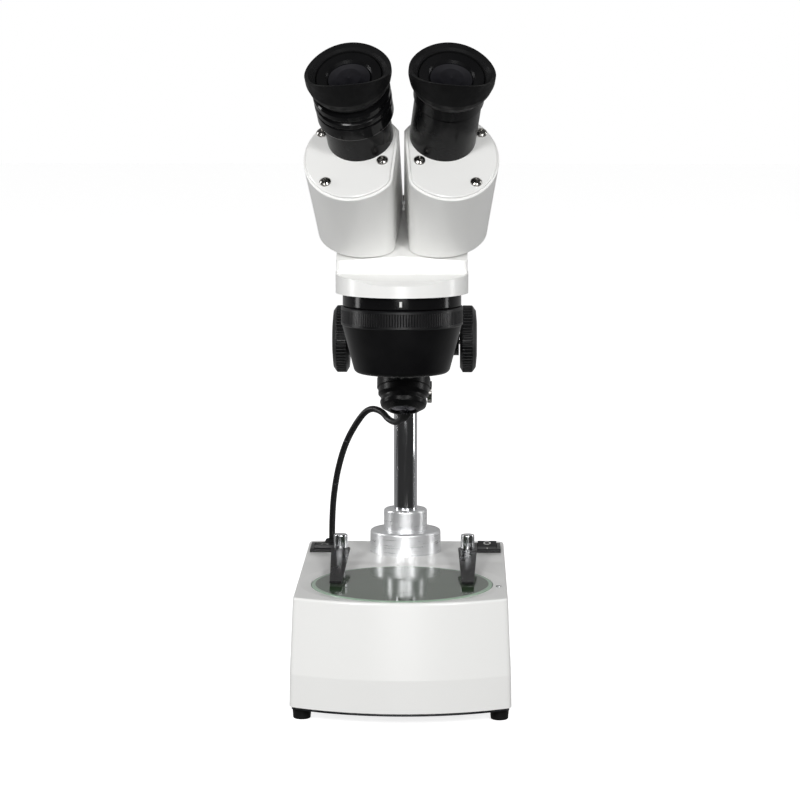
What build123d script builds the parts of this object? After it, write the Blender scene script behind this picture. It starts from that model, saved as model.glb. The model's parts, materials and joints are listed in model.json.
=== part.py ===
"""Stereo microscope on a pillar stand with a tilting lamp, as separate pieces in one frame.

Millimetres. +Z up, +X to the user's right, the user sits at -Y. The origin is on the bench, under the
middle of the whole instrument.
"""
import math
import os

from build123d import *

# ---------------------------------------------------------------- driving dimensions
AXIS_Y = -26.25                      # line of sight, middle of the stage plate
PILLAR_Y = 65.25                     # middle of the pillar
PILLAR_R = 6.5
PILLAR_FOOT_Z = 50.0
PILLAR_TOP_Z = 259.6

FOOT_HEIGHT = 6.0
FOOT_X = 51.0
FOOT_FRONT_Y = -58.75
FOOT_BACK_Y = 87.25
PLATE_THICK = 1.5                    # sheet that closes the base
BASE_FLOOR_Z = FOOT_HEIGHT + PLATE_THICK
BASE_CREASE_Z = 25.0
BASE_TOP_Z = 64.8
BASE_BACK_Y = 95.8
BASE_WALL = 2.8
BASE_ROOF = 3.0
# half width, front corner Y, bow of the front, at the floor, at the crease and at the top
BASE_FLOOR_SIZE = (57.1, -66.1, 14.9)
BASE_CREASE_SIZE = (56.75, -67.75, 14.5)
BASE_TOP_SIZE = (55.0, -66.75, 13.5)

STAGE_PLATE_R = 47.5
STAGE_PLATE_THICK = 5.0
STAGE_TOP_Z = 64.4
STAGE_SEAT_Z = STAGE_TOP_Z - STAGE_PLATE_THICK
STAGE_HOLE_R = 47.8

CLIP_X = 34.5
CLIP_Y = 29.25
CLIP_TIP_Y = -35.75
CLIP_LEAF_THICK = 0.9

SWITCH_X = 45.5
SWITCH_Y = 69.25
ROCKER_TILT = 8.0                    # degrees either side of level
ROCKER_PIVOT_Z = 62.0
ROCKER_PIVOT_R = 1.1

GROMMET_X = -42.0
GROMMET_Y = 87.75

BLOCK_LOW_Z = 176.0                  # focusing block on the pillar
BLOCK_TOP_Z = 200.0
BLOCK_FRONT_Y = 36.25
BLOCK_BACK_Y = 77.25
BLOCK_HALF_X = 21.0
SLEEVE_R = 8.5
PINION_Y = 46.25
PINION_Z = 185.6
GEAR_MODULE = 0.8
PINION_TEETH = 12
PINION_PITCH_R = GEAR_MODULE * PINION_TEETH / 2
RACK_PITCH_Y = PINION_Y - PINION_PITCH_R
TOOTH_HEIGHT = 0.7                   # above and below the pitch line
TOOTH_BASE = 1.35                    # tooth thickness at the root
TOOTH_TIP = 0.45
SHAFT_R = 3.0
KNOB_R = 18.25
KNOB_IN_X = 30.0
KNOB_OUT_X = 39.3
SLIDE_LOW_Z = 150.0
SLIDE_TOP_Z = 250.0
SLIDE_WIDE_X = 10.0
SLIDE_NARROW_X = 6.5
SLIDE_FRONT_Y = 33.25
SLIDE_STEP_Y = 36.35

LAMP_TILT = 25.0                     # degrees of the lamp's axis from upright
LAMP_MOUTH = (0, 11.25, 151.0)
LAMP_PIVOT_Y = 37.75
LAMP_PIVOT_Z = 157.5

TURRET_LOW_Z = 176.0
GRIP_LOW_Z = 201.0
GRIP_TOP_Z = 210.8
MOUNT_LOW_Z = 211.1
MOUNT_TOP_Z = 217.7
OBJECTIVE_PITCH_R = 13.0
OBJECTIVE_R = 5.4

FLANGE_R = 34.35
HEAD_HALF_X = 33.9
HEAD_FRONT_Y = -32.05
HEAD_BACK_Y = SLIDE_FRONT_Y - 0.05
ROOF_SLOPE = 24.3                    # degrees, the sloping top that the prism housings stand on
ROOF_FRONT_Z = 236.26

VIEW_TILT = 45.0                     # degrees of the eyetubes from upright
VIEW_LEAN = 6.0                      # degrees that each side leans outward
EYE_X = 23.9                         # middle of each top plate
EYE_Y = -45.75
EYE_Z = 290.0
HOUSING_A = 26.3                     # half axes of the housing's ellipse
HOUSING_B = 30.1
HOUSING_WALL = 2.6
HOUSING_DEPTH = 78.0
INNER_FACE_X = -21.4                 # flat inner side at the top plate, from its middle
INNER_FACE_TURN = 0.08
INNER_FACE_LEAN = 0.095
TOP_PLATE_THICK = 3.0
TOP_PLATE_PROUD = 1.5
SWING_V = 15.0                       # swing axis in front of the plate's middle
SWING_R = 9.0
TUBE_U = -2.9                        # eyetube's middle on the top plate
TUBE_V = 11.6
TUBE_R = 17.0
TUBE_BORE_R = 15.25
BARREL_R = 15.2
EYEPIECE_TOP = 44.2
CUP_BOTTOM = 37.2
CUP_R = 21.8
RIM_FAR = 46.0                       # rim height on the far side, beside the eye and on the near side
RIM_MIDDLE = 48.0
RIM_NEAR = 60.6
SEAT_HEIGHT = {-1: 36.0, 1: 30.0}    # what each eyepiece rests on, left and right

CABLE_R = 1.75
CABLE_ROUTE = [
    (1.6, 20.25, 148.6), (-1.9, 25.45, 142.2), (-7.9, 33.05, 142.0), (-12.7, 38.45, 147.3),
    (-20.1, 45.85, 147.5), (-27.1, 52.25, 137.9), (-33.2, 60.65, 125.7), (-37.6, 69.45, 110.7),
    (-40.4, 78.35, 95.0), (-41.6, 84.9, 81.5), (-42.0, 87.75, 69.0), (-42.0, 87.75, 50.0),
]

UP = Plane.XY
ALONG_X = Plane.YZ
pieces = []


def keep(builder, name):
    """Name a finished piece and put it on the list that is written at the end."""
    builder.part.label = name
    pieces.append(builder.part)


def side_name(side, name):
    """Left and right pieces share one function: side is -1 or 1."""
    return ("left_" if side < 0 else "right_") + name


def profile(plane, points, soft=(), rounding=0.8):
    """Closed outline of (radius, height) points, standing on the plane's X and Z directions."""
    with BuildSketch(Plane(plane.origin, plane.x_dir, -plane.y_dir)) as outline:
        with BuildLine():
            Polyline(*points, close=True)
        make_face()
        corners = [v for v in outline.vertices() if any(abs(v.X - r) + abs(v.Y - h) < 1e-4 for r, h in soft)]
        if corners:
            fillet(corners, rounding)
    return outline.sketch


def spin(plane):
    """The plane's own upright axis."""
    return Axis(plane.origin, plane.z_dir)


def upright(x, y, z=0.0):
    """Level plane at a point."""
    return Plane((x, y, z))


def sideways(x, y, z, side=1):
    """Plane that looks along X, outward on the given side."""
    return Plane((x, y, z), x_dir=(0, 0, 1), z_dir=(side, 0, 0))


# ---------------------------------------------------------------- stand
def base_outline(size, height, inset=0.0):
    """Footprint of the base at one height: straight sides and back, bowed front."""
    half, front, bow = size
    half -= inset
    front += inset
    back = BASE_BACK_Y - inset
    with BuildSketch(Plane.XY.offset(height)) as outline:
        with BuildLine():
            ThreePointArc((-half, front), (0, front - bow), (half, front))
            Polyline((half, front), (half, back), (-half, back), (-half, front))
        make_face()
        fillet(outline.vertices(), 4.0 - 0.5 * inset)
    return outline.sketch


def base_shell():
    """Moulded casing, open below, with the stage seat and the pillar socket."""
    inner_roof = BASE_TOP_Z - BASE_ROOF
    with BuildPart() as shell:
        loft([
            base_outline(BASE_FLOOR_SIZE, BASE_FLOOR_Z),
            base_outline(BASE_CREASE_SIZE, BASE_CREASE_Z),
            base_outline(BASE_TOP_SIZE, BASE_TOP_Z),
        ], ruled=True)
        top_edges = shell.faces().sort_by(Axis.Z)[-1].edges()
        fillet(top_edges, 1.2)
        loft([
            base_outline(BASE_FLOOR_SIZE, BASE_FLOOR_Z, BASE_WALL),
            base_outline(BASE_CREASE_SIZE, BASE_CREASE_Z, BASE_WALL),
            base_outline(BASE_TOP_SIZE, inner_roof, BASE_WALL),
        ], ruled=True, mode=Mode.SUBTRACT)
        stage = upright(0, AXIS_Y)
        revolve(profile(stage, [(44.0, STAGE_SEAT_Z - 3), (51.0, STAGE_SEAT_Z - 3), (51.0, inner_roof + 0.5),
                                (44.0, inner_roof + 0.5)]), axis=spin(stage))
        revolve(profile(stage, [(0, STAGE_SEAT_Z - 4), (44.5, STAGE_SEAT_Z - 4), (44.5, STAGE_SEAT_Z),
                                (STAGE_HOLE_R, STAGE_SEAT_Z), (STAGE_HOLE_R, BASE_TOP_Z - 0.8),
                                (54.0, BASE_TOP_Z), (54.0, BASE_TOP_Z + 1), (0, BASE_TOP_Z + 1)]),
                axis=spin(stage), mode=Mode.SUBTRACT)
        with Locations((0, PILLAR_Y, PILLAR_FOOT_Z - 2)):
            Cylinder(12.0, inner_roof + 0.5 - PILLAR_FOOT_Z + 2, align=(Align.CENTER, Align.CENTER, Align.MIN))
        with Locations((0, PILLAR_Y, PILLAR_FOOT_Z)):
            Cylinder(PILLAR_R, 40, align=(Align.CENTER, Align.CENTER, Align.MIN), mode=Mode.SUBTRACT)
        with Locations((-SWITCH_X, SWITCH_Y, BASE_TOP_Z - 2), (SWITCH_X, SWITCH_Y, BASE_TOP_Z - 2)):
            Box(12.4, 18.8, 8, mode=Mode.SUBTRACT)
        with Locations((-CLIP_X, CLIP_Y, BASE_TOP_Z - 2), (CLIP_X, CLIP_Y, BASE_TOP_Z - 2)):
            Cylinder(2.06, 8, mode=Mode.SUBTRACT)
        with Locations((GROMMET_X, GROMMET_Y, BASE_TOP_Z - 2)):
            Cylinder(3.2, 8, mode=Mode.SUBTRACT)
        with Locations((0, BASE_BACK_Y - 2, 30)):
            Box(27, 8, 19.6, mode=Mode.SUBTRACT)
        screw = stage_screw_plane()
        extrude(disc(screw, 1.56), amount=4, both=True, mode=Mode.SUBTRACT)
    keep(shell, "base_shell")


def disc(plane, radius):
    """Round sketch on a plane."""
    with BuildSketch(plane) as round_face:
        Circle(radius)
    return round_face.sketch


def stage_screw_plane():
    """Where the stage's set screw stands: in the roof beside the glass, on the right."""
    return upright(50.7, AXIS_Y - 8.0, BASE_TOP_Z - 1.6)


def bottom_plate():
    with BuildPart() as plate:
        extrude(base_outline(BASE_FLOOR_SIZE, FOOT_HEIGHT, 1.0), amount=PLATE_THICK)
    keep(plate, "bottom_plate")


def rubber_feet():
    """Four turned feet, slightly wider at the top."""
    with BuildPart() as feet:
        for x in (-FOOT_X, FOOT_X):
            for y in (FOOT_FRONT_Y, FOOT_BACK_Y):
                foot = upright(x, y)
                revolve(profile(foot, [(0, 0), (4.5, 0), (5.0, FOOT_HEIGHT), (0, FOOT_HEIGHT)], [(4.5, 0)]),
                        axis=spin(foot))
    keep(feet, "rubber_feet")


def pillar():
    line = upright(0, PILLAR_Y)
    with BuildPart() as rod:
        revolve(profile(line, [(5.0, PILLAR_FOOT_Z), (PILLAR_R, PILLAR_FOOT_Z), (PILLAR_R, PILLAR_TOP_Z),
                               (5.0, PILLAR_TOP_Z)]), axis=spin(line))
    keep(rod, "pillar")
    with BuildPart() as cap:
        revolve(profile(line, [(0, PILLAR_TOP_Z - 6), (4.9, PILLAR_TOP_Z - 6), (4.9, PILLAR_TOP_Z),
                               (7.0, PILLAR_TOP_Z), (7.0, PILLAR_TOP_Z + 3), (0, PILLAR_TOP_Z + 3)],
                        [(7.0, PILLAR_TOP_Z + 3)], 1.2), axis=spin(line))
    keep(cap, "pillar_cap")


def pillar_collar():
    """Two-step collar that stands on the base and clamps the pillar."""
    line = upright(0, PILLAR_Y)
    low = BASE_TOP_Z
    with BuildPart() as collar:
        revolve(profile(line, [(PILLAR_R, low), (19.75, low), (19.5, low + 12.4), (12.0, low + 12.4),
                               (12.0, low + 24.1), (PILLAR_R, low + 24.1)],
                        [(19.5, low + 12.4), (12.0, low + 24.1)], 1.4), axis=spin(line))
        extrude(disc(sideways(0, PILLAR_Y, low + 19.2, -1), 1.6), amount=20, mode=Mode.SUBTRACT)
    keep(collar, "pillar_collar")
    with BuildPart() as screw:
        seat = sideways(-PILLAR_R - 0.02, PILLAR_Y, low + 19.2, -1)
        extrude(disc(seat, 1.58), amount=5.2)
        with BuildSketch(seat.offset(5.2)):
            RegularPolygon(0.9, 6)
        extrude(amount=-1.5, mode=Mode.SUBTRACT)
    keep(screw, "collar_set_screw")


def base_inside():
    """Lower light, its reflector and the transformer."""
    light = upright(0, AXIS_Y)
    with BuildPart() as reflector:
        revolve(profile(light, [(12.0, 12.0), (13.0, 11.2), (40.0, 50.0), (43.0, 50.0), (43.0, 51.0),
                                (39.4, 51.0)]), axis=spin(light))
        with Locations((0, AXIS_Y, BASE_FLOOR_Z)):
            Cylinder(13.0, 4.3, align=(Align.CENTER, Align.CENTER, Align.MIN))
    keep(reflector, "reflector")
    with BuildPart() as bulb:
        revolve(profile(light, [(0, 11.8), (5.0, 11.8), (5.0, 20.0), (6.5, 24.0), (6.5, 32.0), (0, 35.0)],
                        [(6.5, 24.0), (6.5, 32.0)], 2.0), axis=spin(light))
    keep(bulb, "base_bulb")
    with BuildPart() as transformer:
        with Locations((0, 50.0, BASE_FLOOR_Z)):
            Box(46, 24, 32, align=(Align.CENTER, Align.CENTER, Align.MIN))
            Box(34, 33, 24, align=(Align.CENTER, Align.CENTER, Align.MIN))
        chamfer(transformer.edges().filter_by(Axis.Z), 0.8)
    keep(transformer, "transformer")


def power_inlet():
    """Three-pin inlet set flush in the back wall."""
    face_y = BASE_BACK_Y - 0.4
    with BuildPart() as inlet:
        with Locations((0, face_y, 30)):
            Box(26.8, 18, 19.4, align=(Align.CENTER, Align.MAX, Align.CENTER))
            Box(24, 15, 16, align=(Align.CENTER, Align.MAX, Align.CENTER), mode=Mode.SUBTRACT)
        chamfer(inlet.faces().sort_by(Axis.Y)[-1].inner_wires().edges(), 0.4)
        for x, z in ((-7, 28), (0, 33), (7, 28)):
            with Locations((x, face_y - 16, z)):
                Box(2, 14, 4.5, align=(Align.CENTER, Align.MIN, Align.CENTER))
    keep(inlet, "power_inlet")


def switch_bodies():
    """Two rocker switch bezels with their housings under the roof."""
    with BuildPart() as bodies:
        for side in (-1, 1):
            with Locations((side * SWITCH_X, SWITCH_Y, BASE_TOP_Z)):
                Box(15, 21, 2, align=(Align.CENTER, Align.CENTER, Align.MIN))
                Box(12.2, 18.6, 24, align=(Align.CENTER, Align.CENTER, Align.MAX))
        fillet(bodies.faces().sort_by(Axis.Z)[-2:].edges(), 0.6)
        for side in (-1, 1):
            with Locations((side * SWITCH_X, SWITCH_Y, BASE_TOP_Z - 8)):
                Box(11, 18, 20, align=(Align.CENTER, Align.CENTER, Align.MIN), mode=Mode.SUBTRACT)
            pivot = sideways(side * SWITCH_X, SWITCH_Y, ROCKER_PIVOT_Z)
            extrude(disc(pivot, ROCKER_PIVOT_R + 0.05), amount=8, both=True, mode=Mode.SUBTRACT)
    keep(bodies, "switch_bodies")


def rocker(side):
    """Rocker with a shallow V across its top. The right one rests far end up, the left one near end up."""
    tilt = side * ROCKER_TILT
    middle = Plane((side * SWITCH_X, SWITCH_Y, ROCKER_PIVOT_Z)).rotated((tilt, 0, 0))
    across = Plane(middle.origin, x_dir=middle.y_dir, z_dir=middle.x_dir)
    with BuildPart() as lever:
        with BuildSketch(across):
            with BuildLine():
                Polyline((-8.0, -1.2), (8.0, -1.2), (8.0, 5.6), (0, 4.6), (-8.0, 5.6), close=True)
            make_face()
        extrude(amount=5.2, both=True)
        fillet(lever.edges().filter_by(Axis.X).group_by(Axis.Z)[-1], 0.5)
        pivot = sideways(side * SWITCH_X, SWITCH_Y, ROCKER_PIVOT_Z)
        extrude(disc(pivot, ROCKER_PIVOT_R), amount=5.9, both=True)
    keep(lever, side_name(side, "rocker"))


def cable_grommet():
    low = BASE_TOP_Z
    line = upright(GROMMET_X, GROMMET_Y)
    with BuildPart() as grommet:
        revolve(profile(line, [(1.95, low - 5), (3.9, low - 5), (3.9, low - 3.05), (3.15, low - 3.05), (3.15, low),
                               (4.2, low), (3.4, low + 2.4), (1.95, low + 2.4)], [(3.4, low + 2.4)], 0.6),
                axis=spin(line))
    keep(grommet, "cable_grommet")


# ---------------------------------------------------------------- stage
def stage():
    line = upright(0, AXIS_Y)
    with BuildPart() as plate:
        revolve(profile(line, [(0, STAGE_SEAT_Z + 0.02), (STAGE_PLATE_R, STAGE_SEAT_Z + 0.02),
                               (STAGE_PLATE_R, STAGE_TOP_Z), (0, STAGE_TOP_Z)],
                        [(STAGE_PLATE_R, STAGE_TOP_Z)], 0.6), axis=spin(line))
    keep(plate, "stage_plate")
    seat = stage_screw_plane()
    with BuildPart() as screw:
        extrude(disc(seat, 1.5), amount=1.7)
        extrude(disc(seat, 1.5), amount=-3)
        with BuildSketch(seat.offset(1.7)):
            Rectangle(4, 0.6)
        extrude(amount=-0.8, mode=Mode.SUBTRACT)
    keep(screw, "stage_screw")


def stage_clip(side):
    """Spring clip: a turned post with a knurled head, and a tapering leaf that points at the user."""
    low = BASE_TOP_Z
    line = upright(side * CLIP_X, CLIP_Y)
    with BuildPart() as post:
        revolve(profile(line, [(0, low - 6), (2.0, low - 6), (2.0, low + 0.05), (3.4, low + 0.05),
                               (3.4, low + 1.2), (2.6, low + 1.8), (2.6, low + 7.0), (1.6, low + 7.0),
                               (1.6, low + 8.3), (3.75, low + 8.3), (3.75, low + 15.8), (0, low + 15.8)],
                        [(3.75, low + 15.8)], 0.7), axis=spin(line))
        with Locations(Location((side * CLIP_X, CLIP_Y, low + 12))):
            with PolarLocations(3.95, 24):
                Box(0.5, 0.45, 5.6, rotation=(0, 0, 45), mode=Mode.SUBTRACT)
    keep(post, side_name(side, "clip_post"))
    flat = low + 7.1
    tip = low + 0.4
    thick = CLIP_LEAF_THICK
    with BuildPart() as leaf:
        with BuildSketch(Plane.YZ.offset(side * CLIP_X)):
            with BuildLine():
                Polyline((CLIP_Y + 5, flat), (CLIP_Y - 5, flat), (CLIP_TIP_Y + 4, tip), (CLIP_TIP_Y, tip + 1.2),
                         (CLIP_TIP_Y, tip + 1.2 + thick), (CLIP_TIP_Y + 4, tip + thick),
                         (CLIP_Y - 5, flat + thick), (CLIP_Y + 5, flat + thick), close=True)
            make_face()
        extrude(amount=8, both=True)
        with BuildSketch(Plane.XY.offset(low - 1)):
            with Locations((side * CLIP_X, 0)):
                Polygon((-5.15, CLIP_Y), (-3.1, CLIP_TIP_Y), (3.1, CLIP_TIP_Y), (5.15, CLIP_Y), align=None)
            with Locations((side * CLIP_X, CLIP_Y)):
                Circle(5.15)
        extrude(amount=12, mode=Mode.INTERSECT)
        with Locations((side * CLIP_X, CLIP_Y, flat)):
            Cylinder(1.6, 4, mode=Mode.SUBTRACT)
    keep(leaf, side_name(side, "clip_leaf"))


# ---------------------------------------------------------------- arm and focusing
def arm_sleeve():
    """Bush that slides on the pillar and carries the focusing block."""
    line = upright(0, PILLAR_Y)
    low = BLOCK_LOW_Z - 4
    with BuildPart() as sleeve:
        revolve(profile(line, [(PILLAR_R + 0.03, low), (10.0, low), (10.0, BLOCK_LOW_Z - 0.1),
                               (SLEEVE_R, BLOCK_LOW_Z - 0.1), (SLEEVE_R, BLOCK_TOP_Z + 4),
                               (PILLAR_R + 0.03, BLOCK_TOP_Z + 4)], [(10.0, low), (SLEEVE_R, BLOCK_TOP_Z + 4)],
                        0.8), axis=spin(line))
    keep(sleeve, "arm_sleeve")


def focus_block():
    """Cast block on the sleeve, with the slide's channel in front and the pinion's cavity behind it."""
    middle_z = (BLOCK_LOW_Z + BLOCK_TOP_Z) / 2
    tall = BLOCK_TOP_Z - BLOCK_LOW_Z
    with BuildPart() as block:
        with BuildSketch(Plane.XY.offset(BLOCK_LOW_Z)):
            with BuildLine():
                Polyline((-BLOCK_HALF_X, BLOCK_FRONT_Y), (-BLOCK_HALF_X, 60), (-14, BLOCK_BACK_Y),
                         (14, BLOCK_BACK_Y), (BLOCK_HALF_X, 60), (BLOCK_HALF_X, BLOCK_FRONT_Y), close=True)
            make_face()
        extrude(amount=tall)
        fillet(block.edges().filter_by(Axis.Z).group_by(Axis.Y)[1:], 3)
        with Locations(Location((0, PINION_Y, PINION_Z), (0, 90, 0))):
            Cylinder(9.0, 59)
        with Locations(Location((0, BLOCK_BACK_Y - 2, middle_z), (-90, 0, 0))):
            Cylinder(6.0, 6, align=(Align.CENTER, Align.CENTER, Align.MIN))
        with Locations((0, PILLAR_Y, middle_z)):
            Cylinder(SLEEVE_R + 0.05, tall + 2, mode=Mode.SUBTRACT)
        with Locations((0, BLOCK_FRONT_Y - 1, middle_z)):
            Box(2 * SLIDE_WIDE_X + 0.12, 1 + 6.3, 40, align=(Align.CENTER, Align.MIN, Align.CENTER),
                mode=Mode.SUBTRACT)
        with Locations(Location((0, PINION_Y, PINION_Z), (0, 90, 0))):
            Cylinder(6.2, 18, mode=Mode.SUBTRACT)
            Cylinder(SHAFT_R + 0.05, 70, mode=Mode.SUBTRACT)
        with Locations(Location((0, BLOCK_BACK_Y, middle_z), (-90, 0, 0))):
            Cylinder(3.05, 30, mode=Mode.SUBTRACT)
        with Locations(*gib_screw_places()):
            Cylinder(1.5, 12, rotation=(90, 0, 0), mode=Mode.SUBTRACT)
    keep(block, "focus_block")


def gib_screw_places():
    """Two screws through each gib, a little above and below its middle."""
    return [(x, BLOCK_FRONT_Y, z) for x in (-13.5, 13.5) for z in (BLOCK_LOW_Z + 6, BLOCK_TOP_Z - 6)]


def slide_gibs():
    """Two strips that hold the slide in its channel, and their screws."""
    front = BLOCK_FRONT_Y - 2.6
    middle_z = (BLOCK_LOW_Z + BLOCK_TOP_Z) / 2
    with BuildPart() as gibs:
        with Locations((-12.35, front, middle_z), (12.35, front, middle_z)):
            Box(11.3, 2.6, 23.6, align=(Align.CENTER, Align.MIN, Align.CENTER))
        chamfer(gibs.faces().filter_by(Axis.Y).group_by(Axis.Y)[0].edges(), 0.4)
        with Locations(*gib_screw_places()):
            Cylinder(1.5, 8, rotation=(90, 0, 0), mode=Mode.SUBTRACT)
    keep(gibs, "slide_gibs")
    with BuildPart() as screws:
        for x, y, z in gib_screw_places():
            seat = Plane((x, front, z), x_dir=(1, 0, 0), z_dir=(0, -1, 0))
            revolve(profile(seat, [(0, -7.5), (1.45, -7.5), (1.45, 0), (2.6, 0), (2.6, 1.0), (0, 1.6)]),
                    axis=spin(seat))
    keep(screws, "gib_screws")


def clamp_knob():
    """Knob behind the block whose screw bears on the sleeve."""
    middle_z = (BLOCK_LOW_Z + BLOCK_TOP_Z) / 2
    seat = Plane((0, BLOCK_BACK_Y + 4.4, middle_z), x_dir=(1, 0, 0), z_dir=(0, 1, 0))
    with BuildPart() as knob:
        revolve(profile(seat, [(0, -7.8), (3.0, -7.8), (3.0, 0), (7.0, 0), (10.6, 1.6), (10.6, 10.0), (8.6, 11.6),
                               (0, 11.6)], [(10.6, 10.0), (10.6, 1.6)], 0.7), axis=spin(seat))
        with Locations(Location(seat.offset(5.8))):
            with PolarLocations(11.4, 12):
                Cylinder(1.6, 14, mode=Mode.SUBTRACT)
    keep(knob, "arm_clamp_knob")


def pinion_shaft():
    """Cross shaft with the pinion cut in its middle, one tooth on the rack side."""
    tip_r = PINION_PITCH_R + TOOTH_HEIGHT
    root_r = PINION_PITCH_R - TOOTH_HEIGHT
    middle = Plane((0, PINION_Y, PINION_Z), x_dir=(0, -1, 0), z_dir=(1, 0, 0))
    with BuildPart() as shaft:
        extrude(disc(middle, SHAFT_R), amount=KNOB_OUT_X - 3.5, both=True)
        with BuildSketch(middle):
            Circle(root_r)
            with PolarLocations(0, PINION_TEETH):
                Polygon((root_r - 0.4, -TOOTH_BASE / 2), (tip_r, -TOOTH_TIP / 2), (tip_r, TOOTH_TIP / 2),
                        (root_r - 0.4, TOOTH_BASE / 2), align=None)
        extrude(amount=8, both=True)
    keep(shaft, "pinion_shaft")


def focus_knob(side):
    """Domed focusing knob with a ribbed rim."""
    axle = sideways(0, PINION_Y, PINION_Z, side)
    with BuildPart() as knob:
        revolve(profile(axle, [(SHAFT_R, KNOB_IN_X), (15.5, KNOB_IN_X), (KNOB_R, KNOB_IN_X + 1.6),
                               (KNOB_R, KNOB_OUT_X - 2.6), (15.4, KNOB_OUT_X - 0.6), (9.0, KNOB_OUT_X),
                               (0, KNOB_OUT_X), (0, KNOB_OUT_X - 3.5), (SHAFT_R, KNOB_OUT_X - 3.5)],
                        [(KNOB_R, KNOB_OUT_X - 2.6), (15.4, KNOB_OUT_X - 0.6)], 1.2), axis=spin(axle))
        with BuildSketch(axle.offset(KNOB_IN_X)):
            with PolarLocations(KNOB_R + 0.4, 60):
                Circle(0.75)
        extrude(amount=KNOB_OUT_X - KNOB_IN_X, mode=Mode.SUBTRACT)
    keep(knob, side_name(side, "focus_knob"))


def rack_slide():
    """T-section bar with the rack on its back and a fork at its foot for the lamp."""
    pitch = math.pi * GEAR_MODULE
    back = RACK_PITCH_Y + TOOTH_HEIGHT
    root = RACK_PITCH_Y - TOOTH_HEIGHT - 0.15
    with BuildPart() as slide:
        with BuildSketch(Plane.XY.offset(SLIDE_LOW_Z)):
            with Locations((0, SLIDE_STEP_Y)):
                Rectangle(2 * SLIDE_WIDE_X, back - SLIDE_STEP_Y, align=(Align.CENTER, Align.MIN))
            with Locations((0, SLIDE_FRONT_Y)):
                Rectangle(2 * SLIDE_NARROW_X, 4, align=(Align.CENTER, Align.MIN))
        extrude(amount=SLIDE_TOP_Z - SLIDE_LOW_Z)
        with BuildSketch(Plane.YZ):
            with Locations(*[(0, PINION_Z + step * pitch) for step in range(-8, 12)]):
                Polygon((root, -(pitch - TOOTH_BASE) / 2), (back + 0.1, -(pitch - TOOTH_TIP) / 2),
                        (back + 0.1, (pitch - TOOTH_TIP) / 2), (root, (pitch - TOOTH_BASE) / 2), align=None)
        extrude(amount=SLIDE_WIDE_X + 1, both=True, mode=Mode.SUBTRACT)
        with Locations((0, LAMP_PIVOT_Y, SLIDE_LOW_Z)):
            Box(6.4, 20, 26, mode=Mode.SUBTRACT)
        with Locations(Location((0, LAMP_PIVOT_Y, LAMP_PIVOT_Z), (0, 90, 0))):
            Cylinder(2.05, 40, mode=Mode.SUBTRACT)
    keep(slide, "rack_slide")


# ---------------------------------------------------------------- lamp
def lamp_plane():
    """Mouth of the lamp; its Z runs up the lamp's own axis, which leans towards the pillar."""
    tilt = math.radians(LAMP_TILT)
    return Plane(LAMP_MOUTH, x_dir=(1, 0, 0), z_dir=(0, math.sin(tilt), math.cos(tilt)))


def cable_exit():
    """Plane across the cable where it leaves the lamp."""
    start = Vector(*CABLE_ROUTE[0])
    return Plane(start, z_dir=Vector(*CABLE_ROUTE[1]) - start)


def lamp():
    mouth = lamp_plane()
    exit_plane = cable_exit()
    with BuildPart() as housing:
        revolve(profile(mouth, [(0, 0), (8.3, 0), (12.0, 2.2), (12.6, 4.6), (12.1, 6.4), (12.1, 7.2), (13.6, 9.0),
                                (13.6, 12.2), (14.3, 12.6), (14.3, 18.0), (11.8, 20.0), (0, 20.0)],
                        [(12.0, 2.2), (12.6, 4.6), (14.3, 18.0), (11.8, 20.0)], 1.2), axis=spin(mouth))
        with BuildSketch(Plane.YZ):
            with BuildLine():
                Polyline((18.0, 160.0), (LAMP_PIVOT_Y, LAMP_PIVOT_Z + 4), (LAMP_PIVOT_Y, LAMP_PIVOT_Z - 4),
                         (22.0, 152.0), close=True)
            make_face()
            with Locations((LAMP_PIVOT_Y, LAMP_PIVOT_Z)):
                Circle(4)
        extrude(amount=3.0, both=True)
        revolve(profile(mouth, [(0, -1), (7.1, -1), (7.1, 0.8), (7.6, 0.8), (7.6, 2.4), (10.0, 4.6), (10.0, 8.0),
                                (11.6, 9.5), (11.6, 17.5), (0, 17.5)]), axis=spin(mouth), mode=Mode.SUBTRACT)
        extrude(disc(exit_plane.offset(-3.0), 2.6), amount=12, mode=Mode.SUBTRACT)
        with Locations(Location((0, LAMP_PIVOT_Y, LAMP_PIVOT_Z), (0, 90, 0))):
            Cylinder(2.05, 40, mode=Mode.SUBTRACT)
    keep(housing, "lamp_housing")
    with BuildPart() as lens:
        revolve(profile(mouth, [(0, 0.2), (6.0, 0.8), (7.55, 0.8), (7.55, 2.3), (0, 2.3)]), axis=spin(mouth))
    keep(lens, "lamp_lens")
    with BuildPart() as bulb:
        revolve(profile(mouth, [(0, 4.0), (2.4, 4.6), (3.0, 7.0), (3.0, 11.0), (4.5, 11.5), (4.5, 17.45),
                                (0, 17.45)], [(2.4, 4.6), (3.0, 7.0)], 1.0), axis=spin(mouth))
    keep(bulb, "lamp_bulb")
    with BuildPart() as boot:
        revolve(profile(exit_plane, [(1.85, -0.2), (2.58, -0.2), (2.58, 3.4), (2.2, 5.0), (1.85, 5.0)],
                        [(2.58, 3.4)], 0.6), axis=spin(exit_plane))
    keep(boot, "lamp_boot")
    with BuildPart() as screw:
        axle = sideways(0, LAMP_PIVOT_Y, LAMP_PIVOT_Z)
        revolve(profile(axle, [(0, -12), (3.4, -12), (3.4, -10.05), (2.0, -10.05), (2.0, 10.05), (3.5, 10.05),
                               (3.5, 12.4), (6.0, 12.4), (6.0, 14.9), (0, 14.9)], [(6.0, 12.4), (6.0, 14.9)], 0.5),
                axis=spin(axle))
    keep(screw, "lamp_clamp_screw")


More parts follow.
